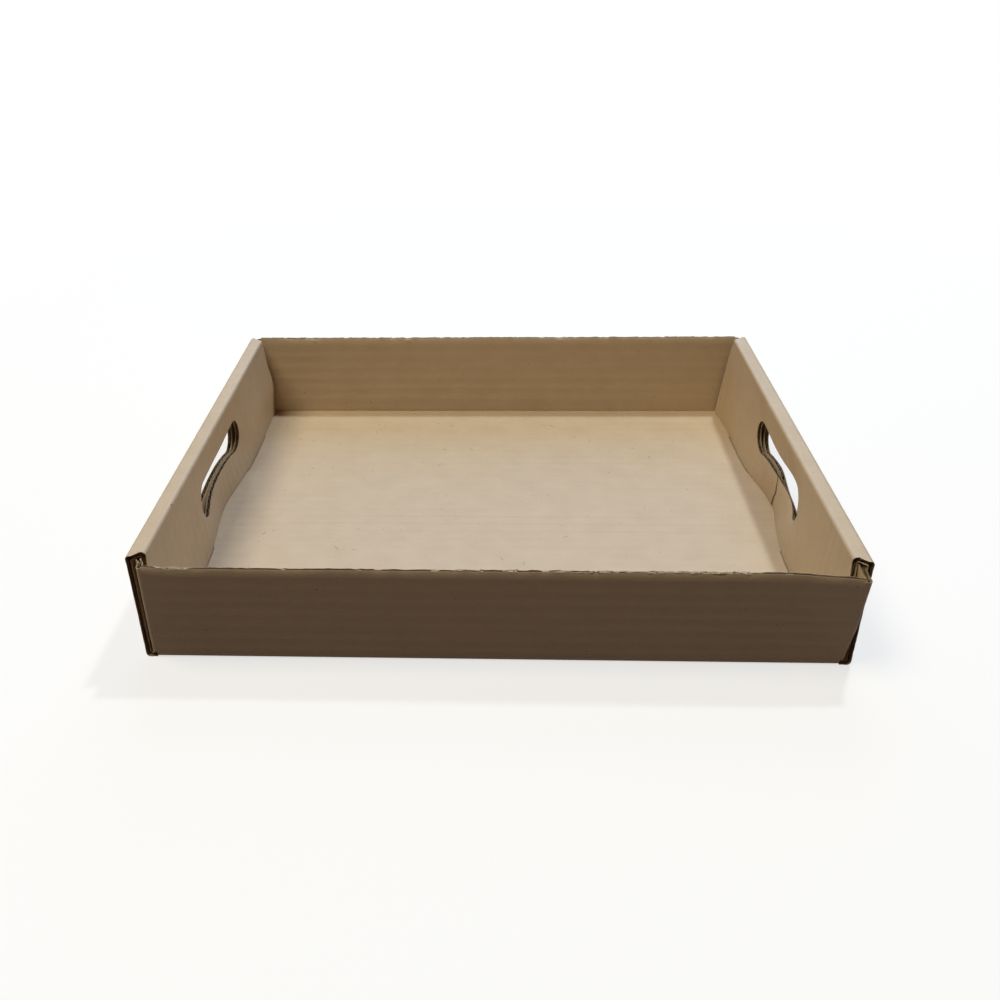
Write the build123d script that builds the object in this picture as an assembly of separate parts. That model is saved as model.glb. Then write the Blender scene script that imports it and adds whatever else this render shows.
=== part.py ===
"""Cardboard tray box: one corrugated blank, cut, creased and folded up.

Frame: X along the tray's length, Y across it, +Z up. The origin is under the
middle of the base, at the level that the tray rests on.

The blank is a tree of flat panels. The base carries two long walls (+Y and -Y)
and two end walls (+X and -X). Each long wall ends in two corner flaps. Each end
wall rolls over them: an outer panel, a narrow top strip, and an inner panel
whose tabs lock into slots in the base. Every crease folds towards the inside,
so each panel is drawn on the plane of its inner face, with the board behind it.
"""
from build123d import *
from math import cos, radians, sin, tan
import os

# Driving dimensions, in mm and degrees.
length = 340.0              # over the outer faces of the end walls
width = 265.0               # over the outer faces of the long walls, at the base
end_height = 58.8           # underside of the base to the top of the end walls
board = 2.7                 # board thickness
fold_radius = 2.0           # outside radius of a crease
layer_gap = 0.35            # between board layers that lie beside each other

wall_drop = 2.1             # long walls' top edges below the end walls' top
wall_flare = 5.0            # how far the long walls spring outwards
inner_lean = 2.7            # how far the inner end panels slope into the tray

flap_length = 70.0          # corner flap, from its crease to its free edge
flap_foot = 0.8             # its lower edge above the base
flap_taper = 3.0            # how far its top edge falls away from the strip above it

outer_foot_inset = 0.3      # outer end panel's raw edges inside the long walls' faces, at the base
outer_head_inset = 2.6      # the same, at the top strip
strip_slant = 3.3           # how far the strip's ends slope inwards across it
inner_side_gap = 1.3        # inner end panel's sides short of the long walls, at the base
shoulder_depth = 6.0        # height over which the inner panel widens below the strip

tab_length = 48.0           # each lock tab along the panel's foot
tab_centre = 67.0           # tab centre from the tray's middle
tab_chamfer = 1.2
tab_rise = 0.3              # tab ends above the level the tray rests on
slot_gap = 0.3              # round a tab in its slot

hole_length = 93.0          # hand hole, end to end
hole_height = 20.6          # at its two lobes
hole_end = 10.5             # length of each rounded end
hole_level = 31.2           # middle of the lobes above the table
lower_rise = 4.4            # arch of the lower edge at mid length
upper_dip = 2.2             # sag of the upper edge at mid length

tear_offset = 2.0           # tear under the +X hand hole, along Y
tear_lean = 1.5             # its foot, along Y from its head
tear_width = 1.0

# Worked out from them.
half_length = length / 2
half_width = width / 2
hollow = board + 2 * layer_gap                    # room for a flap inside an end wall
flap_crease = half_length - 2 * board - layer_gap  # inner face of a corner flap, along X
panel_drop = end_height - 2 * board               # between the inner faces of base and strip
wall_height = (end_height - wall_drop - board) / cos(radians(wall_flare))
flap_head = (panel_drop - layer_gap) / cos(radians(wall_flare))
head_half = half_width - outer_head_inset
foot_half = half_width - outer_foot_inset
neck_half = head_half - strip_slant
side_half = half_width - board - inner_side_gap
step = 1.0                                        # overshoot of a cutting solid


def panel(plane, points):
    """A flat panel: its outline on the inner face, the board behind it."""
    outline = make_face(Polyline(*points, close=True))
    return extrude(plane * outline, amount=-board)


def folded(plane, angle):
    """The plane that follows a crease along this plane's X axis."""
    return Plane(
        origin=plane.origin,
        x_dir=plane.x_dir,
        z_dir=plane.z_dir.rotate(Axis(plane.origin, plane.x_dir), angle),
    )


def crease(plane, angle, start, end):
    """The board round a crease along the plane's X axis, from start to end."""
    half = radians(angle / 2)
    corner = board * tan(half)
    reach = fold_radius * tan(half)
    centre = Vector(corner - reach, fold_radius - board)
    near_foot = Vector(corner - reach, -board)
    far_foot = Vector(corner + reach * cos(2 * half), -board + reach * sin(2 * half))
    far_edge = Vector(board * sin(2 * half), -board * cos(2 * half))
    middle = centre + Vector(sin(half), -cos(half)) * fold_radius
    section = make_face(
        Polyline((0, 0), (0, -board), near_foot)
        + ThreePointArc(near_foot, middle, far_foot)
        + Polyline(far_foot, far_edge, (0, 0))
    )
    across = Plane(
        origin=plane.from_local_coords(Vector(start, 0, 0)),
        x_dir=plane.y_dir,
        z_dir=plane.x_dir,
    )
    return extrude(across * section, amount=end - start)


def hand_hole():
    """The waisted hand-hole outline, centred on its own origin."""
    lobe = hole_height / 2
    tip = hole_length / 2
    side = tip - hole_end
    return make_face(
        ThreePointArc((-side, -lobe), (0, lower_rise - lobe), (side, -lobe))
        + ThreePointArc((side, -lobe), (tip, 0), (side, lobe))
        + ThreePointArc((side, lobe), (0, lobe - upper_dip), (-side, lobe))
        + ThreePointArc((-side, lobe), (-tip, 0), (-side, -lobe))
    )


def inner_outline():
    """Inner end panel: shoulders under the strip, straight sides, two lock tabs."""
    foot = (panel_drop - layer_gap) / cos(radians(inner_lean))
    tab_foot = (panel_drop + board - tab_rise) / cos(radians(inner_lean))
    tab_near = tab_centre - tab_length / 2
    tab_far = tab_centre + tab_length / 2
    half = [
        (neck_half, 0),
        (side_half, shoulder_depth),
        (side_half, foot),
        (tab_far, foot),
        (tab_far, tab_foot - tab_chamfer),
        (tab_far - tab_chamfer, tab_foot),
        (tab_near + tab_chamfer, tab_foot),
        (tab_near, tab_foot - tab_chamfer),
        (tab_near, foot),
    ]
    return half + [(-x, y) for x, y in reversed(half)]


def end_wall():
    """The +X end wall: outer panel, top strip and inner panel."""
    # Growth is away from the base, and the crease runs along Y.
    base_edge = Plane(
        origin=(half_length - board, 0, board), x_dir=(0, -1, 0), z_dir=(0, 0, 1)
    )
    outer = folded(base_edge, 90)
    strip = Plane(outer.from_local_coords(Vector(0, panel_drop, 0)), outer.x_dir, outer.z_dir)
    strip = folded(strip, 90)
    inner = Plane(strip.from_local_coords(Vector(0, hollow, 0)), strip.x_dir, strip.z_dir)
    inner_fold = 90 - inner_lean
    wall = crease(base_edge, 90, -foot_half, foot_half)
    wall += panel(
        outer,
        [(-foot_half, 0), (foot_half, 0), (head_half, panel_drop), (-head_half, panel_drop)],
    )
    wall += crease(
        Plane(outer.from_local_coords(Vector(0, panel_drop, 0)), outer.x_dir, outer.z_dir),
        90, -head_half, head_half,
    )
    wall += panel(
        strip,
        [(-head_half, 0), (head_half, 0), (neck_half, hollow), (-neck_half, hollow)],
    )
    wall += crease(inner, inner_fold, -neck_half, neck_half)
    wall += panel(folded(inner, inner_fold), inner_outline())
    hole = Plane(
        origin=(half_length + step, 0, hole_level), x_dir=(0, 1, 0), z_dir=(1, 0, 0)
    )
    depth = 3 * board + hollow + panel_drop * tan(radians(inner_lean)) + step
    return wall - extrude(hole * hand_hole(), amount=-depth)


def corner_flap(wall_plane, side):
    """The flap at one end of a long wall, folded into the end wall."""
    start = Plane(
        origin=wall_plane.from_local_coords(Vector(side * flap_crease, 0, 0)),
        x_dir=wall_plane.y_dir * -side,
        z_dir=wall_plane.z_dir,
    )
    free_head = flap_head - flap_length * tan(radians(wall_flare + flap_taper))
    outline = [(flap_foot, 0), (flap_head, 0), (free_head, flap_length), (flap_foot, flap_length)]
    outline = [(-side * x, y) for x, y in outline]
    ends = sorted((-side * flap_foot, -side * flap_head))
    return crease(start, 90, *ends) + panel(folded(start, 90), outline)


def long_wall():
    """The +Y long wall and its two corner flaps."""
    base_edge = Plane(
        origin=(0, half_width - board, board), x_dir=(1, 0, 0), z_dir=(0, 0, 1)
    )
    fold = 90 - wall_flare
    face = folded(base_edge, fold)
    wall = crease(base_edge, fold, -flap_crease, flap_crease)
    wall += panel(
        face,
        [
            (-flap_crease, 0),
            (flap_crease, 0),
            (flap_crease, wall_height),
            (-flap_crease, wall_height),
        ],
    )
    for side in (-1, 1):
        wall += corner_flap(face, side)
    return wall


def base_panel():
    """The base, with a lug at each corner that meets the outer end panel's foot."""
    inside = Pos(0, 0, board / 2)
    plate = inside * Box(2 * (half_length - board), 2 * (half_width - board), board)
    lug_inner = flap_crease + layer_gap
    lug_length = half_length - board - lug_inner
    ends = Box(lug_length, 2 * foot_half, board)
    for side in (-1, 1):
        plate += inside * Pos(side * (lug_inner + lug_length / 2), 0, 0) * ends
    return plate


def tab_slots():
    """The slots that take the +X end's two lock tabs."""
    slope = tan(radians(inner_lean))
    hidden_face = half_length - board - hollow - (panel_drop + board) * slope
    shown_face = hidden_face - board / cos(radians(inner_lean))
    across = hidden_face - shown_face + board * slope + 2 * slot_gap
    middle = (hidden_face + shown_face + board * slope) / 2
    slot = Box(across, tab_length + 2 * slot_gap, 2 * (board + step))
    slots = [Pos(middle, side * tab_centre, 0) * slot for side in (-1, 1)]
    return slots


def tear():
    """The narrow tear from the +X hand hole down to the inner panel's foot."""
    head = hole_level - hole_height / 2 + lower_rise + step
    foot = board + layer_gap / 2
    inner_face = half_length - board - hollow
    across = Plane(origin=(inner_face + layer_gap, 0, 0), x_dir=(0, 1, 0), z_dir=(1, 0, 0))
    outline = make_face(
        Polyline(
            (tear_offset - tear_width / 2, head),
            (tear_offset + tear_width / 2, head),
            (tear_offset + tear_lean + tear_width / 2, foot),
            (tear_offset + tear_lean - tear_width / 2, foot),
            close=True,
        )
    )
    return extrude(across * outline, amount=-(2 * board + hollow))


half_turn = Rot(0, 0, 180)
tray = base_panel()
end = end_wall()
side_wall = long_wall()
tray += [end, half_turn * end, side_wall, half_turn * side_wall]
for slot in tab_slots():
    # The tab stands in its slot, so the board is cut only round it.
    ring = slot - end
    tray -= ring
    tray -= half_turn * ring
tray -= tear()

os.makedirs("parts", exist_ok=True)
export_step(tray, "parts/tray.step")
print("solids", len(tray.solids()), "volume", round(tray.volume), "box", tray.bounding_box().size)
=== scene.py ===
import math

import bmesh
import bpy
import numpy as np
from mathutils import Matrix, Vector, geometry, noise


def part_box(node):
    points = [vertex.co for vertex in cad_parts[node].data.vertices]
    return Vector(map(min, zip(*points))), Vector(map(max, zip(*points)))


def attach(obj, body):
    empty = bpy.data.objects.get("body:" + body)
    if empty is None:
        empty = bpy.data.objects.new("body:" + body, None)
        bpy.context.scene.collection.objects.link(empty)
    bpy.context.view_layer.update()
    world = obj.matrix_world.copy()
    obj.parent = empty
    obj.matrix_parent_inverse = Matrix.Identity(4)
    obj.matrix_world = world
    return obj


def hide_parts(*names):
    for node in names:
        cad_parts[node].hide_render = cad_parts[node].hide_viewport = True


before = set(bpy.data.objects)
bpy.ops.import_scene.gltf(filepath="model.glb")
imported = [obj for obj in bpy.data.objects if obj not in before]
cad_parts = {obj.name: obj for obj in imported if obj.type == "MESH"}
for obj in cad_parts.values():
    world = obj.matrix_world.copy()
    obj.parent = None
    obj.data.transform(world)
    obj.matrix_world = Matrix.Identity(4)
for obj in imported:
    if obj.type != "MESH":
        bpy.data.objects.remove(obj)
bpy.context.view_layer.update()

metre = 0.001  # the tray is worked out in millimetres

boxHigh = np.array(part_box("tray")[1]) / metre

sheet = {
    "board": 2.7,  # whole thickness of the corrugated board
    "liner": 0.32,  # each of its two flat papers
    "foldRadius": 2.0,  # outside radius of a crease
    "layerGap": 0.35,
    "pitch": 7.9,  # from one flute to the next
    "flare": 5.0,  # degrees that the long walls spring outwards
    "lean": 2.7,  # degrees that the inner end panels slope into the tray
    "wallDrop": 2.1,
    "seamStep": 2.5,  # spacing of points along every outline
    "fineStep": 1.5,  # the same round the slots and along the tear
    "foldSteps": 6,
}

halfLength = boxHigh[0]
endHeight = boxHigh[2]
board = sheet["board"]
wallHeight = (endHeight - sheet["wallDrop"] - board) / math.cos(math.radians(sheet["flare"]))
halfWidth = boxHigh[1] - wallHeight * math.sin(math.radians(sheet["flare"]))
halfWidth += board * (1 - math.cos(math.radians(sheet["flare"])))
hollow = board + 2 * sheet["layerGap"]
flapCrease = halfLength - 2 * board - sheet["layerGap"]
panelDrop = endHeight - 2 * board


# A panel's plane lies on its inner face; blank is the same place on the flat sheet.
def makePlane(origin, along, normal, blank, blankAlong, blankGrow):
    along, normal = np.array(along, float), np.array(normal, float)
    return {
        "origin": np.array(origin, float),
        "along": along,
        "grow": np.cross(normal, along),
        "normal": normal,
        "blank": np.array(blank, float),
        "blankAlong": np.array(blankAlong, float),
        "blankGrow": np.array(blankGrow, float),
    }


def movedPlane(plane, x, y):
    moved = dict(plane)
    moved["origin"] = plane["origin"] + x * plane["along"] + y * plane["grow"]
    moved["blank"] = plane["blank"] + x * plane["blankAlong"] + y * plane["blankGrow"]
    return moved


def foldedPlane(plane, degrees):
    turn = math.radians(degrees)
    folded = dict(plane)
    folded["grow"] = math.cos(turn) * plane["grow"] + math.sin(turn) * plane["normal"]
    folded["normal"] = math.cos(turn) * plane["normal"] - math.sin(turn) * plane["grow"]
    folded["blank"] = plane["blank"] + board * plane["blankGrow"]
    return folded


# Growth turns to run along the wall itself, past x.
def sidePlane(plane, side, x):
    turned = movedPlane(plane, side * x, 0)
    turned["along"] = plane["grow"] * -side
    turned["grow"] = np.cross(plane["normal"], turned["along"])
    turned["blankAlong"] = plane["blankGrow"] * -side
    turned["blankGrow"] = plane["blankAlong"] * side
    return turned


def place(plane, x, y, depth):
    x, y, depth = (np.asarray(value, float)[..., None] for value in (x, y, depth))
    return plane["origin"] + x * plane["along"] + y * plane["grow"] - depth * plane["normal"]


def onBlank(plane, x, y):
    x, y = (np.asarray(value, float)[..., None] for value in (x, y))
    return plane["blank"] + x * plane["blankAlong"] + y * plane["blankGrow"]


def sampled(start, end, step):
    count = max(1, math.ceil(math.dist(start, end) / step - 1e-6))
    return [
        (start[0] + (end[0] - start[0]) * i / count, start[1] + (end[1] - start[1]) * i / count)
        for i in range(count)
    ]


def sampledLoop(corners, step):
    loop = []
    for start, end in zip(corners, corners[1:] + corners[:1]):
        loop += sampled(start, end, step)
    return loop


def inside(points, loop):
    x, y = points[:, 0], points[:, 1]
    hit = np.zeros(len(points), bool)
    for (ax, ay), (bx, by) in zip(loop, loop[1:] + loop[:1]):
        if ay != by:
            crosses = (ay > y) != (by > y)
            hit ^= crosses & (x < (bx - ax) * (y - ay) / (by - ay) + ax)
    return hit


def nearLoop(points, loops):
    samples = np.array([point for loop in loops for point in loop])
    nearest = np.full(len(points), np.inf)
    for sample in samples:
        nearest = np.minimum(nearest, np.hypot(*(points - sample).T))
    return nearest


def triangles(loops, step):
    points, edges = [], []
    for loop in loops:
        first = len(points)
        points += loop
        edges += [(first + i, first + (i + 1) % len(loop)) for i in range(len(loop))]
    low, high = np.min(loops[0], axis=0), np.max(loops[0], axis=0)
    columns = np.arange(low[0] + step / 2, high[0], step)
    rows = np.arange(low[1] + step / 2, high[1], step)
    grid = np.array([(x, y) for x in columns for y in rows]).reshape(-1, 2)
    keep = inside(grid, loops[0])
    for hole in loops[1:]:
        keep &= ~inside(grid, hole)
    grid = grid[keep]
    grid = grid[nearLoop(grid, loops) > 0.55 * min(step, sheet["seamStep"])]
    points = points + [tuple(point) for point in grid]
    found = geometry.delaunay_2d_cdt([tuple(p) for p in points], edges, [], 0, 1e-5)
    flat = np.array([tuple(p) for p in found[0]])
    faces = np.array([face for face in found[2]])
    middle = flat[faces].mean(axis=1)
    keep = inside(middle, loops[0])
    for hole in loops[1:]:
        keep &= ~inside(middle, hole)
    faces = faces[keep]
    a, b, c = (flat[faces[:, i]] for i in range(3))
    turn = (b[:, 0] - a[:, 0]) * (c[:, 1] - a[:, 1]) - (b[:, 1] - a[:, 1]) * (c[:, 0] - a[:, 0])
    faces[turn < 0] = faces[turn < 0][:, ::-1]
    return flat, faces


# Everything that is cut from the sheet is gathered here before it becomes one mesh.
class Gathered:
    def __init__(self):
        self.points, self.blank, self.faces, self.finish, self.count = [], [], [], [], 0

    def add(self, points, blank, faces, finish):
        self.points.append(np.asarray(points, float))
        self.blank.append(np.asarray(blank, float))
        self.faces += [tuple(int(i) + self.count for i in face) for face in faces]
        self.finish += [finish] * len(faces)
        self.count += len(points)


paper = Gathered()
bands = Gathered()
bandNormals, bandPhase = [], []
linerFinish, cutFinish = 0, 1


def onSeam(a, b, seams):
    for start, end in seams:
        start, end = np.array(start), np.array(end)
        length = np.linalg.norm(end - start)
        unit = (end - start) / length
        good = True
        for point in (a, b):
            along = np.dot(point - start, unit)
            off = np.linalg.norm(point - start - along * unit)
            good &= off < 1e-4 and -1e-4 < along < length + 1e-4
        if good:
            return True
    return False


cutEdge = {
    "squeeze": 0.06,  # share of the thickness that the knife pressed out
    "topSqueeze": 0.5,  # the same along the long walls' top edges
    "ragged": 0.12,
    "topRagged": 0.4,
    "grain": 0.55,
    "coarseGrain": 0.12,
    "uneven": 0.6,
    "steady": 0.4,
}


def wobble(blank, scale, seed):
    return np.array([noise.noise((x * scale, y * scale, seed)) for x, y in blank])


# How much of the thickness is left at each point, and how far the cut has frayed back.
def wornEdge(plane, flat, rim, seams, topEdge):
    left = np.ones(len(flat))
    ends = sorted({index for pair in rim for index in pair})
    ends = [index for index in ends if not onSeam(flat[index], flat[index], seams)]
    blank = onBlank(plane, flat[:, 0], flat[:, 1])
    back = np.zeros_like(flat)
    for a, b in rim:
        along = flat[b] - flat[a]
        inward = np.array([-along[1], along[0]]) / max(1e-6, np.linalg.norm(along))
        back[a] += inward / 2
        back[b] += inward / 2
    high = np.zeros(len(flat), bool)
    if topEdge is not None:
        high = np.abs(flat[:, 1] - topEdge) < 0.01
    rough = wobble(blank, cutEdge["grain"], 3.0) + 0.5 * wobble(blank, cutEdge["coarseGrain"], 5.0)
    squeeze = np.where(high, cutEdge["topSqueeze"], cutEdge["squeeze"])
    squeeze = squeeze * (1 + cutEdge["uneven"] * rough)
    ragged = np.where(high, cutEdge["topRagged"], cutEdge["ragged"]) * (cutEdge["steady"] + rough)
    left[ends] = 1 - squeeze[ends]
    flat = flat.copy()
    flat[ends] += back[ends] * np.clip(ragged[ends], 0, 1)[:, None]
    return flat, left


def addPanel(plane, corners, holes=(), step=3.0, seams=(), warp=None, topEdge=None, crushed=None):
    loops = [sampledLoop(corners, sheet["seamStep"])] + [list(hole) for hole in holes]
    flat, faces = triangles(loops, step)
    used = {}
    for face in faces:
        for a, b in ((face[0], face[1]), (face[1], face[2]), (face[2], face[0])):
            used[(a, b)] = True
    rim = [(a, b) for a, b in used if (b, a) not in used]
    rim = [(a, b) for a, b in rim if not onSeam(flat[a], flat[b], seams)]
    flat, left = wornEdge(plane, flat, rim, seams, topEdge)
    if crushed:
        ends = sorted({index for pair in rim for index in pair})
        left[ends] *= 1 - crushed(flat[ends])
    x, y = flat[:, 0], flat[:, 1]
    blank = onBlank(plane, x, y)
    for top, bottom in ((0, sheet["liner"]), (board - sheet["liner"], board)):
        upper = place(plane, x, y, board / 2 + (top - board / 2) * left)
        lower = place(plane, x, y, board / 2 + (bottom - board / 2) * left)
        if warp:
            upper, lower = warp(upper), warp(lower)
        count = len(flat)
        paper.add(
            np.vstack([upper, lower]),
            np.vstack([blank, blank]),
            list(faces) + [face[::-1] + count for face in faces],
            linerFinish,
        )
        if rim:
            paper.add(
                np.vstack([upper, lower]),
                np.vstack([blank, blank]),
                [(a, a + count, b + count, b) for a, b in rim],
                cutFinish,
            )
    addBands(plane, flat, left, rim, warp)


# The fluted paper shows at every raw edge, as a band that reaches a little way in.
bandSizes = {"reach": 5.0, "rows": 4, "fine": 0.6, "coarse": 2.5, "setBack": 0.25, "leastArea": 0.05}


def quadArea(corners):
    (ax, ay), (bx, by) = corners[2] - corners[0], corners[3] - corners[1]
    return abs(ax * by - ay * bx) / 2


def addBands(plane, flat, left, rim, warp):
    for a, b in rim:
        start, end = flat[a], flat[b]
        length = np.linalg.norm(end - start)
        if length < 1e-6:
            continue
        unit = (end - start) / length
        inward = np.array([-unit[1], unit[0]])
        crossing = abs(np.dot(unit[0] * plane["blankAlong"] + unit[1] * plane["blankGrow"], [0, 1]))
        step = bandSizes["fine"] if crossing > 0.2 else bandSizes["coarse"]
        count = max(1, math.ceil(length / step))
        rows = bandSizes["rows"]
        s = np.linspace(0, length, count + 1)
        t = bandSizes["setBack"] + np.linspace(0, bandSizes["reach"], rows + 1)
        grid = start + s[:, None, None] * unit + t[None, :, None] * inward
        grid = np.clip(grid.reshape(-1, 2), flat.min(axis=0), flat.max(axis=0))
        points = place(plane, grid[:, 0], grid[:, 1], np.full(len(grid), board / 2))
        if warp:
            points = warp(points)
        faces = []
        for i in range(count):
            for j in range(rows):
                k = i * (rows + 1) + j
                quad = (k, k + rows + 1, k + rows + 2, k + 1)
                if quadArea(grid[list(quad)]) > bandSizes["leastArea"]:
                    faces.append(quad)
        blank = onBlank(plane, grid[:, 0], grid[:, 1])
        bands.add(points, blank, faces, 0)
        room = left[a] + (1 - left[a]) * np.clip(t / 2.5, 0, 1)
        bandNormals.append(np.tile(room, count + 1)[:, None] * plane["normal"])
        bandPhase.append(blank[:, 1])


def addCrease(plane, degrees, start, end, warp=None):
    half = math.radians(degrees / 2)
    radius = sheet["foldRadius"]
    corner, reach = board * math.tan(half), radius * math.tan(half)
    path = [(0, -board)]
    for i in range(sheet["foldSteps"] + 1):
        turn = 2 * half * i / sheet["foldSteps"]
        path.append((corner - reach + radius * math.sin(turn), radius - board - radius * math.cos(turn)))
    path.append((board * math.sin(2 * half), -board * math.cos(2 * half)))
    path = np.array(path)
    stations = [p[0] for p in sampled((start, 0), (end, 0), sheet["seamStep"])] + [end]
    stations = np.array(stations)
    n, m = len(stations), len(path)

    def layer(depth):
        scale = depth / board
        points = (
            plane["origin"]
            + stations[:, None, None] * plane["along"]
            + scale * path[None, :, 0, None] * plane["grow"]
            + scale * path[None, :, 1, None] * plane["normal"]
        ).reshape(-1, 3)
        return warp(points) if warp else points

    line = onBlank(plane, stations, np.zeros(n))
    share = np.linspace(0, board, m)
    blank = (line[:, None, :] + share[None, :, None] * plane["blankGrow"]).reshape(-1, 2)
    quads = [
        (i * m + j, i * m + j + 1, (i + 1) * m + j + 1, (i + 1) * m + j)
        for i in range(n - 1)
        for j in range(m - 1)
    ]
    inner, outer = layer(board - sheet["liner"]), layer(board)
    fine, axis = layer(sheet["liner"]), layer(0.0)
    turned = [quad[::-1] for quad in quads]
    for points, faces in ((outer, turned), (inner, quads), (fine, turned)):
        paper.add(points, blank, faces, linerFinish)
    last = (n - 1) * m
    for near, far in ((inner, outer), (axis, fine)):
        ends = []
        for j in range(m - 1):
            ends.append((j, j + 1, j + 1 + n * m, j + n * m))
            ends.append((last + j, last + j + n * m, last + j + 1 + n * m, last + j + 1))
        paper.add(np.vstack([near, far]), np.vstack([blank, blank]), ends, cutFinish)


# How the used tray has sprung out of its true shape: how far, where and how widely.
warps = {
    "leftFoot": {"bow": 5.1, "middle": 0.0, "width": 35.0},  # inner panels' feet, outwards
    "rightFoot": {"bow": 6.8, "middle": 7.0, "width": 30.0},
    "holeBow": {"bow": 4.6, "middle": 11.0, "width": 46.0},  # the same at the hand holes
    "bowEarly": 1.3,  # the bow is whole before the foot is reached
    "bowCurve": 1.7,
    "footLevel": 18.0,  # below it the bow at the hole turns into the foot's
    "nearPush": {"by": 3.2, "middle": -30.0, "width": 20.0, "level": 30.0, "height": 17.0},
    "pushStart": 0.15,  # share of the panel over which that push begins
    "farEnd": 130.0,
    "farBulge": {"by": 2.1, "level": 24.0, "height": 11.0, "fade": 40.0},  # left panel, inwards
    "farPull": {"by": 3.6, "fade": 16.0},  # right panel, inwards
    "tearStep": {"by": 0.3, "level": 8.0, "height": 16.0, "width": 12.0},
    "pressed": 0.97,  # most of the room up to the outer panel that a warp may use
    "cornerDroop": {"by": 4.2, "start": 118.0},  # right front top corner
    "cornerSpread": {"by": 1.5, "length": 30.0, "low": 8.0, "high": 26.0},
    "leftRise": {"by": 1.6, "width": 14.0},
    "leftPinch": {"by": 4.6, "length": 45.0, "curve": 1.5},  # left front top corner, along the wall
    "heightCurve": 1.5,
    "wallDepth": (1.0, 5.0),  # behind these the flaps stay as they are
}
tear = {  # under the right hand hole: places along the panel and levels
    "head": (0.5, 27.0),
    "bend": (-0.5, 15.5),
    "foot": (6.0, 1.0),
    "width": 0.3,
    "bendShare": 0.35,
}


def tearLine(z):
    levels = [tear[key][1] for key in ("foot", "bend", "head")]
    places = [tear[key][0] for key in ("foot", "bend", "head")]
    return np.interp(z, levels, places)


layerRoom = 0.05


def bell(value, width):
    return np.exp(-((value / width) ** 2))


def ramp(value, start, end):
    return np.clip((value - start) / (end - start), 0, 1)


# The side of the right panel nearer than its tear stands outwards of the other.
def rightWarp(y, z, drop, fromEnd):
    push, pull, step = warps["nearPush"], warps["farPull"], warps["tearStep"]
    across = bell(y - push["middle"], push["width"])
    moved = push["by"] * across * bell(z - push["level"], push["height"])
    moved = moved * ramp(drop, 0, warps["pushStart"])
    apart = step["by"] * bell(z - step["level"], step["height"]) * bell(y - tearLine(z), step["width"])
    moved = moved + np.where(y < tearLine(z), apart, -apart)
    return moved - pull["by"] * drop * np.exp(-fromEnd / pull["fade"])


def leftWarp(z, fromEnd):
    bulge = warps["farBulge"]
    return -bulge["by"] * bell(z - bulge["level"], bulge["height"]) * np.exp(-fromEnd / bulge["fade"])


def innerWarp(side):
    foot = warps["rightFoot"] if side > 0 else warps["leftFoot"]
    middle = warps["holeBow"]

    def warp(points):
        moved = points.copy()
        y, z = points[:, 1], points[:, 2]
        drop = ramp(z, endHeight - board, board)
        bowed = 1 - (1 - np.minimum(1, drop * warps["bowEarly"])) ** warps["bowCurve"]
        low = ramp(z, warps["footLevel"], board)
        wide = middle["bow"] * np.exp(-(((y - middle["middle"]) / middle["width"]) ** 4))
        narrow = foot["bow"] * bell(y - foot["middle"], foot["width"])
        shift = bowed * (wide + (narrow - wide) * low)
        fromEnd = np.clip(warps["farEnd"] - y, 0, None)
        shift += rightWarp(y, z, drop, fromEnd) if side > 0 else leftWarp(z, fromEnd)
        room = halfLength - board - layerRoom - np.abs(moved[:, 0])
        moved[:, 0] += side * np.minimum(shift, np.maximum(room, 0) * warps["pressed"])
        return moved

    return warp


def frontWarp(points):
    droop, spread = warps["cornerDroop"], warps["cornerSpread"]
    rise, pinch = warps["leftRise"], warps["leftPinch"]
    moved = points.copy()
    x, y, z = points.T
    near, far = (depth - halfWidth for depth in warps["wallDepth"])
    onWall = 1 - ramp(y, near, far)
    height = ramp(z, board, endHeight)
    shift = rise["by"] * bell(x + halfLength, rise["width"])
    shift -= droop["by"] * ramp(x, droop["start"], halfLength) ** 2
    moved[:, 2] += onWall * height ** warps["heightCurve"] * shift
    left = pinch["by"] * (1 - ramp(x, -halfLength, pinch["length"] - halfLength)) ** pinch["curve"]
    right = spread["by"] * ramp(x, halfLength - spread["length"], halfLength)
    moved[:, 0] += onWall * (left * height + right * ramp(z, spread["low"], spread["high"]))
    return moved


hole = {
    "length": 93.0,
    "height": 20.6,
    "end": 10.5,
    "level": 31.2,
    "lowerRise": 4.4,
    "upperDip": 2.2,
    "step": 1.2,
}
# The right hand hole's lower edge: pulled down in the outer panel, pressed flat in the inner one.
wornLip = {"by": 5.0, "middle": -20.0, "width": 22.0}
crushedLip = {"share": 0.8, "middle": -26.0, "width": 27.0, "depth": 12.0}


def arcThrough(a, b, c, step):
    (ax, ay), (bx, by), (cx, cy) = a, b, c
    d = 2 * (ax * (by - cy) + bx * (cy - ay) + cx * (ay - by))
    ux = ((ax**2 + ay**2) * (by - cy) + (bx**2 + by**2) * (cy - ay) + (cx**2 + cy**2) * (ay - by)) / d
    uy = ((ax**2 + ay**2) * (cx - bx) + (bx**2 + by**2) * (ax - cx) + (cx**2 + cy**2) * (bx - ax)) / d
    radius = math.dist((ux, uy), a)
    first = math.atan2(ay - uy, ax - ux)
    mid = (math.atan2(by - uy, bx - ux) - first) % math.tau
    last = (math.atan2(cy - uy, cx - ux) - first) % math.tau
    if mid > last:
        last -= math.tau
    count = max(2, math.ceil(abs(last) * radius / step))
    turns = [first + last * i / count for i in range(count)]
    return [(ux + radius * math.cos(turn), uy + radius * math.sin(turn)) for turn in turns]


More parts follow.
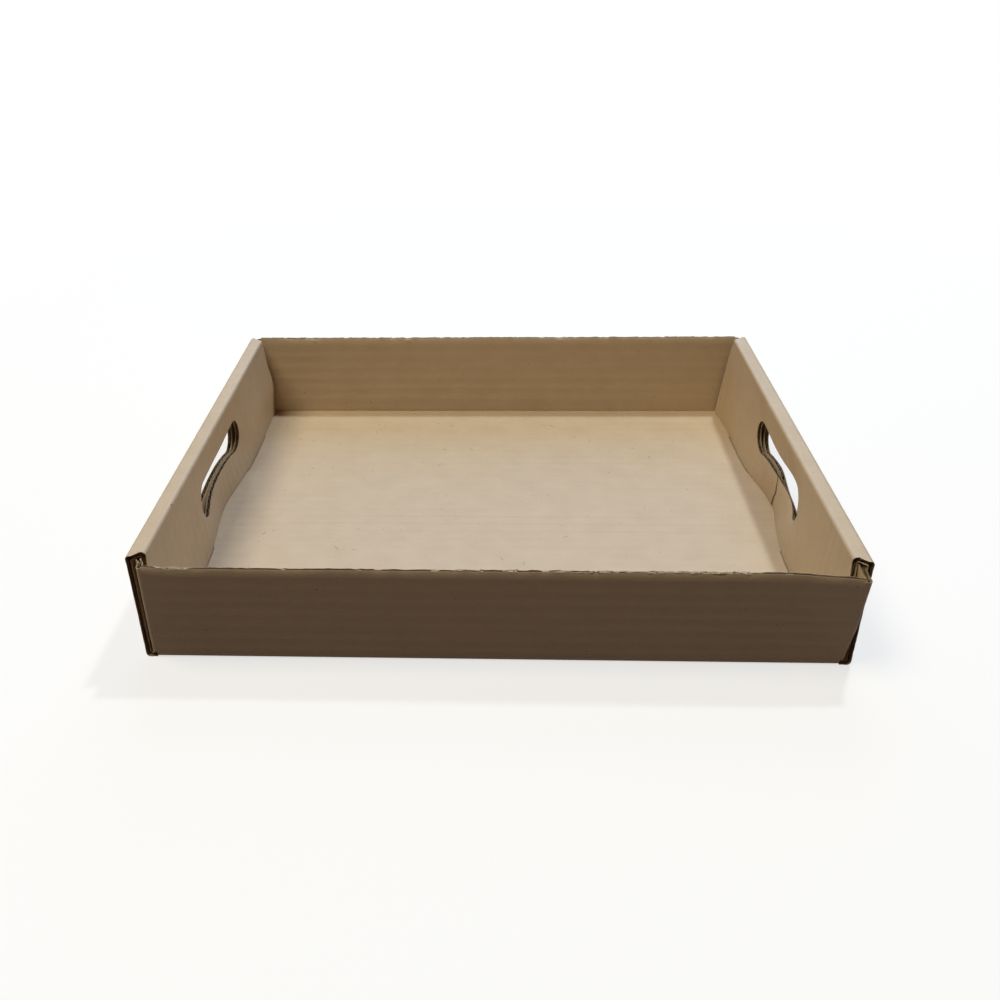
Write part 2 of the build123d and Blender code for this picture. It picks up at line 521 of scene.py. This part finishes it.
def holeLoop(toPanel, worn=0.0):
    lobe, tip = hole["height"] / 2, hole["length"] / 2
    side = tip - hole["end"]
    arcs = [
        ((-side, -lobe), (0, hole["lowerRise"] - lobe), (side, -lobe)),
        ((side, -lobe), (tip, 0), (side, lobe)),
        ((side, lobe), (0, lobe - hole["upperDip"]), (-side, lobe)),
        ((-side, lobe), (-tip, 0), (-side, -lobe)),
    ]
    loop = []
    for a, b, c in arcs:
        loop += arcThrough(a, b, c, hole["step"])
    worked = []
    for y, z in loop:
        dip = worn * math.exp(-(((y - wornLip["middle"]) / wornLip["width"]) ** 4)) if z < 0 else 0
        worked.append(toPanel(y, z - dip + hole["level"]))
    return worked


end = {
    "footInset": 0.3,
    "headInset": 2.6,
    "slant": 3.3,
    "sideGap": 1.3,
    "shoulder": 6.0,
    "tabLength": 48.0,
    "tabCentre": 67.0,
    "tabChamfer": 1.2,
    "tabRise": 0.3,
    "slotGap": 0.3,
    "slotRoom": 0.2,
}
footHalf = halfWidth - end["footInset"]
headHalf = halfWidth - end["headInset"]
neckHalf = headHalf - end["slant"]
sideHalf = halfWidth - board - end["sideGap"]


def innerOutline():
    lean = math.cos(math.radians(sheet["lean"]))
    foot = (panelDrop - sheet["layerGap"]) / lean
    tabFoot = (panelDrop + board - end["tabRise"]) / lean
    near, far = (end["tabCentre"] + sign * end["tabLength"] / 2 for sign in (-1, 1))
    chamfer = end["tabChamfer"]
    half = [
        (neckHalf, 0),
        (sideHalf, end["shoulder"]),
        (sideHalf, foot),
        (far, foot),
        (far, tabFoot - chamfer),
        (far - chamfer, tabFoot),
        (near + chamfer, tabFoot),
        (near, tabFoot - chamfer),
        (near, foot),
    ]
    return half + [(-x, y) for x, y in reversed(half)]


def crushAt(flat):
    y, level = -flat[:, 0], endHeight - board - flat[:, 1]
    low = (level < hole["level"]) & (level > crushedLip["depth"])
    return crushedLip["share"] * low * bell(y - crushedLip["middle"], crushedLip["width"])


def tearLoop():
    points = []
    for sign, keys in ((-1, ("head", "bend", "foot")), (1, ("foot", "bend", "head"))):
        for key in keys:
            share = tear["bendShare"] if key == "bend" else 0.5
            points.append((tear[key][0] + sign * share * tear["width"], tear[key][1]))
    return sampledLoop(points, sheet["fineStep"])


def counterClockwise(loop):
    area = sum(ax * by - bx * ay for (ax, ay), (bx, by) in zip(loop, loop[1:] + loop[:1]))
    return loop if area > 0 else loop[::-1]


def addEnd(side):
    baseEdge = makePlane(
        (side * (halfLength - board), 0, board), (0, -side, 0), (0, 0, 1),
        (side * (halfLength - board), 0), (0, -side), (side, 0),
    )
    warp = innerWarp(side)
    outer = foldedPlane(baseEdge, 90)
    outerTop = movedPlane(outer, 0, panelDrop)
    strip = foldedPlane(outerTop, 90)
    stripEnd = movedPlane(strip, 0, hollow)
    innerFold = 90 - sheet["lean"]
    inner = foldedPlane(stripEnd, innerFold)
    addCrease(baseEdge, 90, -footHalf, footHalf)
    corners = [(-footHalf, 0), (footHalf, 0), (headHalf, panelDrop), (-headHalf, panelDrop)]
    seams = [((-footHalf, 0), (footHalf, 0)), ((-headHalf, panelDrop), (headHalf, panelDrop))]
    worn = wornLip["by"] if side > 0 else 0
    outerHole = holeLoop(lambda y, z: (-side * y, z - board), worn)
    addPanel(outer, corners, [outerHole], seams=seams)
    addCrease(outerTop, 90, -headHalf, headHalf)
    corners = [(-headHalf, 0), (headHalf, 0), (neckHalf, hollow), (-neckHalf, hollow)]
    seams = [((-headHalf, 0), (headHalf, 0)), ((-neckHalf, hollow), (neckHalf, hollow))]
    addPanel(strip, corners, seams=seams)
    addCrease(stripEnd, innerFold, -neckHalf, neckHalf, warp)
    lean = math.cos(math.radians(sheet["lean"]))
    innerHole = holeLoop(lambda y, z: (-side * y, (endHeight - board - z) / lean))
    cuts, crushed = [innerHole], None
    if side > 0:
        crushed = crushAt
        cuts.append([(-y, (endHeight - board - z) / lean) for y, z in tearLoop()])
    addPanel(
        inner, counterClockwise(innerOutline()), cuts,
        seams=[((-neckHalf, 0), (neckHalf, 0))], warp=warp, crushed=crushed,
    )


flap = {"length": 70.0, "foot": 0.8, "taper": 3.0}
flare = math.radians(sheet["flare"])
flapHead = (panelDrop - sheet["layerGap"]) / math.cos(flare)


def addFlap(wallPlane, side, warp):
    start = sidePlane(wallPlane, side, flapCrease)
    fallen = flap["length"] * math.tan(flare + math.radians(flap["taper"]))
    corners = [
        (flap["foot"], 0), (flapHead, 0),
        (flapHead - fallen, flap["length"]), (flap["foot"], flap["length"]),
    ]
    corners = counterClockwise([(-side * x, y) for x, y in corners])
    ends = sorted((-side * flap["foot"], -side * flapHead))
    addCrease(start, 90, ends[0], ends[1], warp)
    addPanel(foldedPlane(start, 90), corners, seams=[((ends[0], 0), (ends[1], 0))], warp=warp)


def addLongWall(side, warp=None):
    baseEdge = makePlane(
        (0, side * (halfWidth - board), board), (side, 0, 0), (0, 0, 1),
        (0, side * (halfWidth - board)), (side, 0), (0, side),
    )
    fold = 90 - sheet["flare"]
    face = foldedPlane(baseEdge, fold)
    addCrease(baseEdge, fold, -flapCrease, flapCrease, warp)
    corners = [(-flapCrease, 0), (flapCrease, 0)]
    corners += [(flapCrease, flap["foot"]), (flapCrease, flapHead), (flapCrease, wallHeight)]
    corners += [(-flapCrease, wallHeight), (-flapCrease, flapHead), (-flapCrease, flap["foot"])]
    seams = [((-flapCrease, 0), (flapCrease, 0))]
    seams += [((x, flap["foot"]), (x, flapHead)) for x in (-flapCrease, flapCrease)]
    addPanel(face, corners, seams=seams, warp=warp, topEdge=wallHeight)
    for flapSide in (-1, 1):
        addFlap(face, flapSide, warp)


def slotLoops():
    slope = math.tan(math.radians(sheet["lean"]))
    hidden = halfLength - board - hollow - (panelDrop + board) * slope
    shown = hidden - board / math.cos(math.radians(sheet["lean"]))
    low = shown - end["slotGap"]
    high = hidden + board * slope + end["slotGap"] + end["slotRoom"]
    reach = end["tabLength"] / 2 + end["slotGap"]
    loops = []
    for side, x0, x1 in ((1, low, high), (-1, -high, -low)):
        for middle in (-end["tabCentre"], end["tabCentre"]):
            y0, y1 = middle - reach, middle + reach
            corners = [(x0, y0), (x1, y0), (x1, y1), (x0, y1)]
            loop = sampledLoop(corners, sheet["fineStep"])
            foot = innerWarp(side)(np.array([(x, y, board) for x, y in loop]))
            loops.append([(x, y) for x, y, z in foot])
    return loops


def addBase():
    plane = makePlane((0, 0, board), (1, 0, 0), (0, 0, 1), (0, 0), (1, 0), (0, 1))
    x0, x1, x2 = flapCrease, flapCrease + sheet["layerGap"], halfLength - board
    y0, y1 = halfWidth - board, footHalf
    quarter = [(x0, y0), (x1, y0), (x1, y1), (x2, y1)]
    corners = [(x, -y) for x, y in quarter] + [(x, y) for x, y in reversed(quarter)]
    corners += [(-x, y) for x, y in quarter] + [(-x, -y) for x, y in reversed(quarter)]
    seams = [((-x0, y), (x0, y)) for y in (-y0, y0)] + [((x, -y1), (x, y1)) for x in (-x2, x2)]
    addPanel(plane, corners, slotLoops(), step=4.0, seams=seams)


addBase()
for side in (-1, 1):
    addEnd(side)
addLongWall(1)
addLongWall(-1, frontWarp)
print("sheet gathered", paper.count, "points", len(paper.faces), "faces")


mergeReach = 0.00001  # metres


def buildMesh(name, gathered, materials, smoothAngle):
    points = np.vstack(gathered.points) * metre
    mesh = bpy.data.meshes.new(name)
    mesh.from_pydata(points.tolist(), [], gathered.faces)
    layer = mesh.uv_layers.new(name="blank")
    blank = np.vstack(gathered.blank) * metre
    corner = np.empty(len(mesh.loops), dtype=np.int32)
    mesh.loops.foreach_get("vertex_index", corner)
    layer.data.foreach_set("uv", blank[corner].astype(np.float32).ravel())
    for material in materials:
        mesh.materials.append(material)
    mesh.polygons.foreach_set("material_index", gathered.finish)
    piece = bpy.data.objects.new(name, mesh)
    bpy.context.scene.collection.objects.link(piece)
    mergeDoubles(mesh)
    mesh.shade_smooth()
    mesh.set_sharp_from_angle(angle=math.radians(smoothAngle))
    return piece


def mergeDoubles(mesh):
    work = bmesh.new()
    work.from_mesh(mesh)
    bmesh.ops.remove_doubles(work, verts=work.verts, dist=mergeReach / 2)
    bmesh.ops.dissolve_degenerate(work, edges=work.edges, dist=1e-7)
    work.to_mesh(mesh)
    work.free()


kraft = {
    "colour": (0.61, 0.47, 0.305),
    "dark": (0.50, 0.37, 0.225),
    "speck": (0.13, 0.085, 0.05),
    "cut": (0.42, 0.30, 0.18),
    "flute": (0.26, 0.18, 0.105),
    "tornLiner": (0.56, 0.45, 0.31),
    "looseFibre": (0.30, 0.20, 0.12),
    "roughness": 0.58,
}
linerPattern = {
    "wander": 1.2,  # radians that the lines over the flutes stray
    "steady": 0.3,  # their least strength, and how much it varies
    "varied": 0.7,
    # painted shade: how much the colour darkens along the ripples over the flutes
    "paintedGrooveShade": -0.3,
    "mottleShade": 0.4,
    "streakShade": 0.14,
    "fibreShade": 0.18,
    "speckShade": 0.75,
    "specks": (0.745, 0.80),
    "ridge": 0.00007,  # metres
    "nap": 0.00003,
}


class NodeSheet:
    def __init__(self, name):
        self.material = bpy.data.materials.new(name)
        self.material.use_nodes = True
        self.nodes = self.material.node_tree.nodes
        self.links = self.material.node_tree.links
        self.shader = self.nodes["Principled BSDF"]

    def node(self, kind, **values):
        made = self.nodes.new(kind)
        for key, value in values.items():
            setattr(made, key, value)
        return made

    def join(self, source, target):
        self.links.new(source, target)

    def math(self, operation, a, b=None):
        made = self.node("ShaderNodeMath", operation=operation)
        for socket, value in zip(made.inputs, (a, b)):
            if isinstance(value, (int, float)):
                socket.default_value = value
            elif value is not None:
                self.join(value, socket)
        return made.outputs[0]

    def noise(self, vector, scale, detail=4.0, rough=0.55):
        made = self.node("ShaderNodeTexNoise")
        made.inputs["Scale"].default_value = scale
        made.inputs["Detail"].default_value = detail
        made.inputs["Roughness"].default_value = rough
        self.join(vector, made.inputs["Vector"])
        return made.outputs["Fac"]

    def stretched(self, vector, scale):
        made = self.node("ShaderNodeMapping")
        made.inputs["Scale"].default_value = scale
        self.join(vector, made.inputs["Vector"])
        return made.outputs["Vector"]

    def step(self, value, low, high):
        made = self.node("ShaderNodeMapRange")
        made.inputs["From Min"].default_value = low
        made.inputs["From Max"].default_value = high
        self.join(value, made.inputs["Value"])
        return made.outputs["Result"]

    def emboss(self, height, distance):
        made = self.node("ShaderNodeBump")
        made.inputs["Distance"].default_value = distance
        made.inputs["Strength"].default_value = 1.0
        self.join(height, made.inputs["Height"])
        self.join(made.outputs["Normal"], self.shader.inputs["Normal"])

    def blend(self, factor, a, b):
        made = self.node("ShaderNodeMix", data_type="RGBA")
        self.join(factor, made.inputs["Factor"])
        for name, value in (("A", a), ("B", b)):
            socket = [s for s in made.inputs if s.name == name and s.type == "RGBA"][0]
            if isinstance(value, tuple):
                socket.default_value = (*value, 1)
            else:
                self.join(value, socket)
        return [s for s in made.outputs if s.type == "RGBA"][0]


def kraftLiner():
    m, look = NodeSheet("kraftLiner"), linerPattern
    blank = m.node("ShaderNodeUVMap", uv_map="blank").outputs["UV"]
    parts = m.node("ShaderNodeSeparateXYZ")
    m.join(blank, parts.inputs[0])
    wander = m.noise(m.stretched(blank, (6, 60, 1)), 1.0, 2.0)
    turns = m.math("MULTIPLY", parts.outputs["Y"], math.tau / (sheet["pitch"] * metre))
    wave = m.math("COSINE", m.math("ADD", turns, m.math("MULTIPLY", wander, look["wander"])))
    strength = m.step(m.noise(m.stretched(blank, (3, 25, 1)), 1.0, 2.0), 0.35, 0.7)
    strength = m.math("ADD", m.math("MULTIPLY", strength, look["varied"]), look["steady"])
    band = m.math("MULTIPLY", wave, strength)
    # Painted shade: the liner's colour is darkened along the washboard ripples over the flutes, where
    # their relief is shaded
    paintedGrooveMask = m.math("POWER", m.math("MAXIMUM", band, 0), 3)
    streak = m.noise(m.stretched(blank, (40, 900, 1)), 1.0, 3.0)
    mottle = m.noise(blank, 55.0, 5.0, 0.6)
    fibre = m.noise(m.stretched(blank, (1600, 1100, 1)), 1.0, 3.0, 0.7)
    dots = m.step(m.noise(m.stretched(blank, (500, 420, 1)), 1.0, 1.0), *look["specks"])
    mottled = m.math("MULTIPLY", m.step(mottle, 0.3, 0.7), look["mottleShade"])
    tone = m.math("ADD", mottled, m.math("MULTIPLY", m.step(streak, 0.3, 0.7), look["streakShade"]))
    tone = m.math("ADD", tone, m.math("MULTIPLY", paintedGrooveMask, look["paintedGrooveShade"]))
    tone = m.math("ADD", tone, m.math("MULTIPLY", m.step(fibre, 0.35, 0.65), look["fibreShade"]))
    colour = m.blend(tone, kraft["dark"], kraft["colour"])
    colour = m.blend(m.math("MULTIPLY", dots, look["speckShade"]), colour, kraft["speck"])
    m.join(colour, m.shader.inputs["Base Color"])
    m.shader.inputs["Roughness"].default_value = kraft["roughness"]
    height = m.math("MULTIPLY", band, look["ridge"])
    m.emboss(m.math("ADD", height, m.math("MULTIPLY", fibre, look["nap"])), 1.0)
    return m.material


cutGrain = {"scale": 1500.0, "shade": 0.6, "depth": 0.00015, "roughness": 0.9}


def cutPaper(name, colour):
    m = NodeSheet(name)
    spot = m.node("ShaderNodeTexCoord").outputs["Object"]
    grain = m.noise(spot, cutGrain["scale"], 3.0, 0.7)
    shade = tuple(cutGrain["shade"] * c for c in colour)
    m.join(m.blend(m.step(grain, 0.3, 0.7), shade, colour), m.shader.inputs["Base Color"])
    m.shader.inputs["Roughness"].default_value = cutGrain["roughness"]
    m.emboss(grain, cutGrain["depth"])
    return m.material


linerLook = kraftLiner()
cutLook = cutPaper("cutPaper", kraft["cut"])
fluteLook = cutPaper("flutedPaper", kraft["flute"])

trayBoard = buildMesh("trayBoard", paper, [linerLook, cutLook], 32)
print("board built", len(trayBoard.data.polygons), "faces")


# A Geometry Nodes tree with named inputs, which ends in real geometry with its material.
class TreeSheet:
    kinds = {float: "NodeSocketFloat", int: "NodeSocketInt"}

    def __init__(self, name, inputs):
        self.tree = bpy.data.node_groups.new(name, "GeometryNodeTree")
        self.nodes, self.links = self.tree.nodes, self.tree.links
        face = self.tree.interface
        face.new_socket("Geometry", in_out="INPUT", socket_type="NodeSocketGeometry")
        for label, value in inputs.items():
            made = face.new_socket(label, in_out="INPUT", socket_type=self.kinds[type(value)])
            made.default_value = value
        face.new_socket("Paper", in_out="INPUT", socket_type="NodeSocketMaterial")
        face.new_socket("Geometry", in_out="OUTPUT", socket_type="NodeSocketGeometry")
        self.entry = self.nodes.new("NodeGroupInput").outputs

    def node(self, kind, inputs=(), **values):
        made = self.nodes.new(kind)
        for key, value in values.items():
            setattr(made, key, value)
        for label, value in dict(inputs).items():
            if isinstance(value, bpy.types.NodeSocket):
                self.links.new(value, made.inputs[label])
            else:
                made.inputs[label].default_value = value
        return made

    def math(self, operation, a, b=0.5):
        return self.node("ShaderNodeMath", {0: a, 1: b}, operation=operation).outputs[0]

    def vector(self, **axes):
        return self.node("ShaderNodeCombineXYZ", axes).outputs[0]

    def shown(self, sockets, *names):
        return [socket for socket in sockets if socket.enabled and socket.name in names]

    def named(self, label, kind):
        made = self.node("GeometryNodeInputNamedAttribute", {"Name": label}, data_type=kind)
        return self.shown(made.outputs, "Attribute")[0]

    def random(self, low, high, step):
        made = self.node("FunctionNodeRandomValue", data_type="FLOAT_VECTOR")
        for socket, value in zip(self.shown(made.inputs, "Min", "Max"), (low, high)):
            socket.default_value = value
        self.links.new(self.math("ADD", self.entry["Seed"], step), made.inputs["Seed"])
        return self.shown(made.outputs, "Value")[0]

    def finish(self, geometry):
        real = self.node("GeometryNodeRealizeInstances", {"Geometry": geometry})
        paint = self.node("GeometryNodeSetMaterial", {
            "Geometry": real.outputs["Geometry"], "Material": self.entry["Paper"],
        })
        self.node("NodeGroupOutput", {"Geometry": paint.outputs["Geometry"]})
        return self.tree


# Bends the flat bands into flutes and gives the fluted paper its thickness.
def corrugateTree():
    t = TreeSheet("corrugate", {"Pitch": 7.9 * metre, "Swing": 0.9 * metre, "Thickness": 0.2 * metre})
    phase = t.math("DIVIDE", t.named("acrossFlutes", "FLOAT"), t.entry["Pitch"])
    wave = t.math("SINE", t.math("MULTIPLY", phase, math.tau))
    swing = t.math("MULTIPLY", wave, t.entry["Swing"])
    offset = t.node("ShaderNodeVectorMath", {
        0: t.named("boardNormal", "FLOAT_VECTOR"), "Scale": swing,
    }, operation="SCALE").outputs["Vector"]
    bent = t.node("GeometryNodeSetPosition", {"Geometry": t.entry["Geometry"], "Offset": offset})
    whole = t.node("GeometryNodeMergeByDistance", {  # neighbouring bands become one strip
        "Geometry": bent.outputs["Geometry"], "Distance": mergeReach,
    }).outputs["Geometry"]
    thick = t.node("GeometryNodeExtrudeMesh", {
        "Mesh": whole, "Offset Scale": t.entry["Thickness"], "Individual": False,
    })
    back = t.node("GeometryNodeFlipFaces", {"Mesh": whole})
    both = t.node("GeometryNodeJoinGeometry")
    for side in (thick, back):
        t.links.new(side.outputs["Mesh"], both.inputs["Geometry"])
    closed = t.node("GeometryNodeMergeByDistance", {
        "Geometry": both.outputs["Geometry"], "Distance": mergeReach,
    })
    return t.finish(closed.outputs["Geometry"])


def grown(piece, tree, values):
    modifier = piece.modifiers.new(tree.name, "NODES")
    modifier.node_group = tree
    for item in tree.interface.items_tree:
        if item.in_out == "INPUT" and item.name in values:
            modifier[item.identifier] = values[item.name]
    bpy.context.view_layer.update()
    result = bpy.data.meshes.new_from_object(
        piece.evaluated_get(bpy.context.evaluated_depsgraph_get())
    )
    piece.modifiers.remove(modifier)
    old = piece.data
    piece.data = result
    bpy.data.meshes.remove(old)
    return piece


fluting = {"thickness": 0.2, "clear": 0.15}


def fluteEnds():
    points = np.vstack(bands.points) * metre
    mesh = bpy.data.meshes.new("fluteEnds")
    mesh.from_pydata(points.tolist(), [], bands.faces)
    normal = mesh.attributes.new("boardNormal", "FLOAT_VECTOR", "POINT")
    normal.data.foreach_set("vector", np.vstack(bandNormals).astype(np.float32).ravel())
    phase = mesh.attributes.new("acrossFlutes", "FLOAT", "POINT")
    phase.data.foreach_set("value", (np.concatenate(bandPhase) * metre).astype(np.float32))
    piece = bpy.data.objects.new("fluteEnds", mesh)
    bpy.context.scene.collection.objects.link(piece)
    swing = board / 2 - sheet["liner"] - fluting["clear"]
    return grown(piece, corrugateTree(), {
        "Pitch": sheet["pitch"] * metre,
        "Swing": swing * metre,
        "Thickness": fluting["thickness"] * metre,
        "Paper": fluteLook,
    })


# Frayed flakes of liner and loose fibres: one small curled strip, set out on guide points.
def scatterTree():
    t = TreeSheet("scatter", {
        "Length": 1.6 * metre, "Width": 0.5 * metre, "Thickness": 0.06 * metre, "Curl": 0.3 * metre,
        "Twist": math.pi,  # radians either way about the guide's facing
        "Seed": 4,
    })
    size = t.vector(X=t.entry["Length"], Y=t.entry["Width"], Z=t.entry["Thickness"])
    strip = t.node("GeometryNodeMeshCube", {"Size": size, "Vertices X": 6})
    where = t.node("GeometryNodeInputPosition").outputs[0]
    along = t.node("ShaderNodeSeparateXYZ", {0: where}).outputs["X"]
    half = t.math("DIVIDE", along, t.math("MULTIPLY", t.entry["Length"], 0.5))
    lift = t.math("MULTIPLY", t.math("POWER", half, 2), t.entry["Curl"])
    curl = t.vector(Y=t.math("MULTIPLY", lift, 0.7), Z=lift)
    curled = t.node("GeometryNodeSetPosition", {"Geometry": strip.outputs["Mesh"], "Offset": curl})
    facing = t.named("facing", "FLOAT_VECTOR")
    aim = t.node("FunctionNodeAlignEulerToVector", {"Vector": facing}, axis="Z").outputs[0]
    most = t.vector(X=0.3, Y=0.3, Z=t.entry["Twist"])
    turn = t.node("ShaderNodeVectorMath", {
        0: t.random((-1, -1, -1), (1, 1, 1), 1), 1: most,
    }, operation="MULTIPLY").outputs["Vector"]
    spin = t.node("FunctionNodeRotateEuler", {0: aim, "Rotate By": turn}, space="LOCAL").outputs[0]
    put = t.node("GeometryNodeInstanceOnPoints", {
        "Points": t.entry["Geometry"], "Instance": curled.outputs["Geometry"], "Rotation": spin,
        "Scale": t.random((0.4, 0.5, 0.7), (1.5, 1.5, 1.3), 2),
    })
    return t.finish(put.outputs["Instances"])


scatterSizes = {
    "flakes": {"Length": 2.6, "Width": 0.4, "Thickness": 0.07, "Curl": 0.08, "Twist": 0.1, "Seed": 4},
    "fibres": {"Length": 2.8, "Width": 0.14, "Thickness": 0.07, "Curl": 0.3, "Twist": 3.1, "Seed": 9},
}


def scattered(name, places, facings, look):
    mesh = bpy.data.meshes.new(name)
    mesh.from_pydata((np.array(places) * metre).tolist(), [], [])
    facing = mesh.attributes.new("facing", "FLOAT_VECTOR", "POINT")
    facing.data.foreach_set("vector", np.array(facings, np.float32).ravel())
    piece = bpy.data.objects.new(name, mesh)
    bpy.context.scene.collection.objects.link(piece)
    sizes = scatterSizes[name]
    plain = ("Seed", "Twist")
    values = {key: value if key in plain else value * metre for key, value in sizes.items()}
    return grown(piece, scatterTree(), {**values, "Paper": look})


# Where the liner has torn along the long walls' top edges: wall, middle, width and how many.
flakePatches = [
    (-1, -148, 9, 26), (-1, 92, 30, 60), (-1, 20, 60, 26), (-1, 40, 110, 40),
    (1, -140, 18, 30), (1, 128, 20, 30), (1, 0, 120, 40),
]
flakeSpread = {"seed": 21, "endGap": 3.0, "depth": (0.7, 2.0), "drop": (0.05, 0.3)}
fibreSpread = {"seed": 5, "count": 46, "x": 150.0, "y": 122.0, "lift": 0.06}


def flakePlaces():
    chance = np.random.default_rng(flakeSpread["seed"])
    places, facings = [], []
    top = endHeight - sheet["wallDrop"]
    reach = halfWidth + wallHeight * math.sin(flare)
    for side, middle, width, count in flakePatches:
        for x in chance.normal(middle, width / 2, count):
            if abs(x) < flapCrease - flakeSpread["endGap"]:
                y = side * (reach - chance.uniform(*flakeSpread["depth"]))
                spot = np.array([x, y, top - chance.uniform(*flakeSpread["drop"])])
                if side < 0:
                    spot = frontWarp(spot[None])[0]
                places.append(spot)
                facings.append((0, side * chance.uniform(0, 1), 1))
    return places, facings


def fibrePlaces():
    chance = np.random.default_rng(fibreSpread["seed"])
    reach = np.array([fibreSpread["x"], fibreSpread["y"]])
    spots = chance.uniform(-reach, reach, (fibreSpread["count"], 2))
    level = board + fibreSpread["lift"]
    return [(x, y, level) for x, y in spots], [(0, 0, 1)] * len(spots)


flakeLook = cutPaper("tornLiner", kraft["tornLiner"])
fibreLook = cutPaper("looseFibre", kraft["looseFibre"])
flakes = scattered("flakes", *flakePlaces(), flakeLook)
fibres = scattered("fibres", *fibrePlaces(), fibreLook)
print("flakes and fibres scattered")

flutes = fluteEnds()
print("flutes built", len(flutes.data.polygons), "faces")

for piece in (trayBoard, flutes, flakes, fibres):
    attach(piece, "root")
    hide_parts("tray")


studio = {
    "floorSize": 12.0,
    "nearWhite": 0.68,
    "bounce": (0.05, 0.024, 0.013),
    "clearStart": 0.30,
    "clearEnd": 0.75,
    "pale": (0.95, 0.9, 0.81),
    "world": (1, 0.6, 0.42),
    "worldStrength": 0.085,
}


def floorLook():
    m = NodeSheet("paleFloor")
    m.shader.inputs["Roughness"].default_value = 0.9
    glow = m.node("ShaderNodeEmission")
    ray = m.node("ShaderNodeLightPath")
    seen = m.math("MAXIMUM", ray.outputs["Is Camera Ray"], ray.outputs["Is Glossy Ray"])
    seen = m.math("MAXIMUM", seen, ray.outputs["Is Transmission Ray"])
    spot = m.node("ShaderNodeTexCoord").outputs["Object"]
    length = m.node("ShaderNodeVectorMath", operation="LENGTH")
    m.join(spot, length.inputs[0])
    clear = m.step(length.outputs["Value"], studio["clearStart"], studio["clearEnd"])
    share = m.math("ADD", m.math("MULTIPLY", clear, 1 - studio["nearWhite"]), studio["nearWhite"])
    m.join(m.blend(seen, studio["bounce"], studio["pale"]), m.shader.inputs["Base Color"])
    mix = m.node("ShaderNodeMixShader")
    m.join(m.math("MULTIPLY", share, seen), mix.inputs[0])
    m.join(m.shader.outputs[0], mix.inputs[1])
    m.join(glow.outputs[0], mix.inputs[2])
    m.join(mix.outputs[0], m.nodes["Material Output"].inputs["Surface"])
    return m.material


def setStage():
    bpy.ops.mesh.primitive_plane_add(size=studio["floorSize"], location=(0, 0, 0))
    floor = bpy.context.object
    floor.name = "floor"
    floor.data.materials.append(floorLook())
    world = bpy.data.worlds.new("room")
    bpy.context.scene.world = world
    world.use_nodes = True
    nodes, links = world.node_tree.nodes, world.node_tree.links
    plain = nodes["Background"]
    plain.inputs["Color"].default_value = (*studio["world"], 1)
    plain.inputs["Strength"].default_value = studio["worldStrength"]
    white = nodes.new("ShaderNodeBackground")
    white.inputs["Color"].default_value = (1, 1, 1, 1)
    ray, mix = nodes.new("ShaderNodeLightPath"), nodes.new("ShaderNodeMixShader")
    links.new(ray.outputs["Is Camera Ray"], mix.inputs[0])
    links.new(plain.outputs[0], mix.inputs[1])
    links.new(white.outputs[0], mix.inputs[2])
    links.new(mix.outputs[0], nodes["World Output"].inputs["Surface"])


lamps = {
    "key": {"at": (0.44, 0.52, 1.55), "size": 0.12, "power": 12.4, "colour": (0.85, 0.97, 1.1)},
    "ceiling": {"at": (-0.8, -0.25, 2.0), "size": 0.8, "power": 27.0, "colour": (0.98, 0.95, 0.8)},
    "back": {"at": (0.0, 1.9, 1.35), "size": 1.7, "power": 16.5, "colour": (0.6, 1.0, 1.8)},
}


def addLamp(name, values):
    light = bpy.data.lights.new(name, "AREA")
    light.size = values["size"]
    light.energy = values["power"]
    light.color = values["colour"]
    lamp = bpy.data.objects.new(name, light)
    bpy.context.scene.collection.objects.link(lamp)
    lamp.location = values["at"]
    lamp.rotation_euler = Vector(values["at"]).to_track_quat("Z", "Y").to_euler()


view = {
    "lens": 33.81,
    "shift": 0.0452,
    "at": (0.0016, -0.4761, 0.3078),
    "turned": (57.88, 1.14, 2.32),  # degrees
}


def addCamera():
    data = bpy.data.cameras.new("camera")
    data.lens = view["lens"]
    data.sensor_width = 36
    data.shift_x = view["shift"]
    data.clip_start = 0.01
    camera = bpy.data.objects.new("camera", data)
    camera.location = view["at"]
    camera.rotation_euler = [math.radians(angle) for angle in view["turned"]]
    bpy.context.scene.collection.objects.link(camera)
    bpy.context.scene.camera = camera


setStage()
for name, values in lamps.items():
    addLamp(name, values)
addCamera()
bpy.context.scene.view_settings.view_transform = "Standard"
print("stage set")
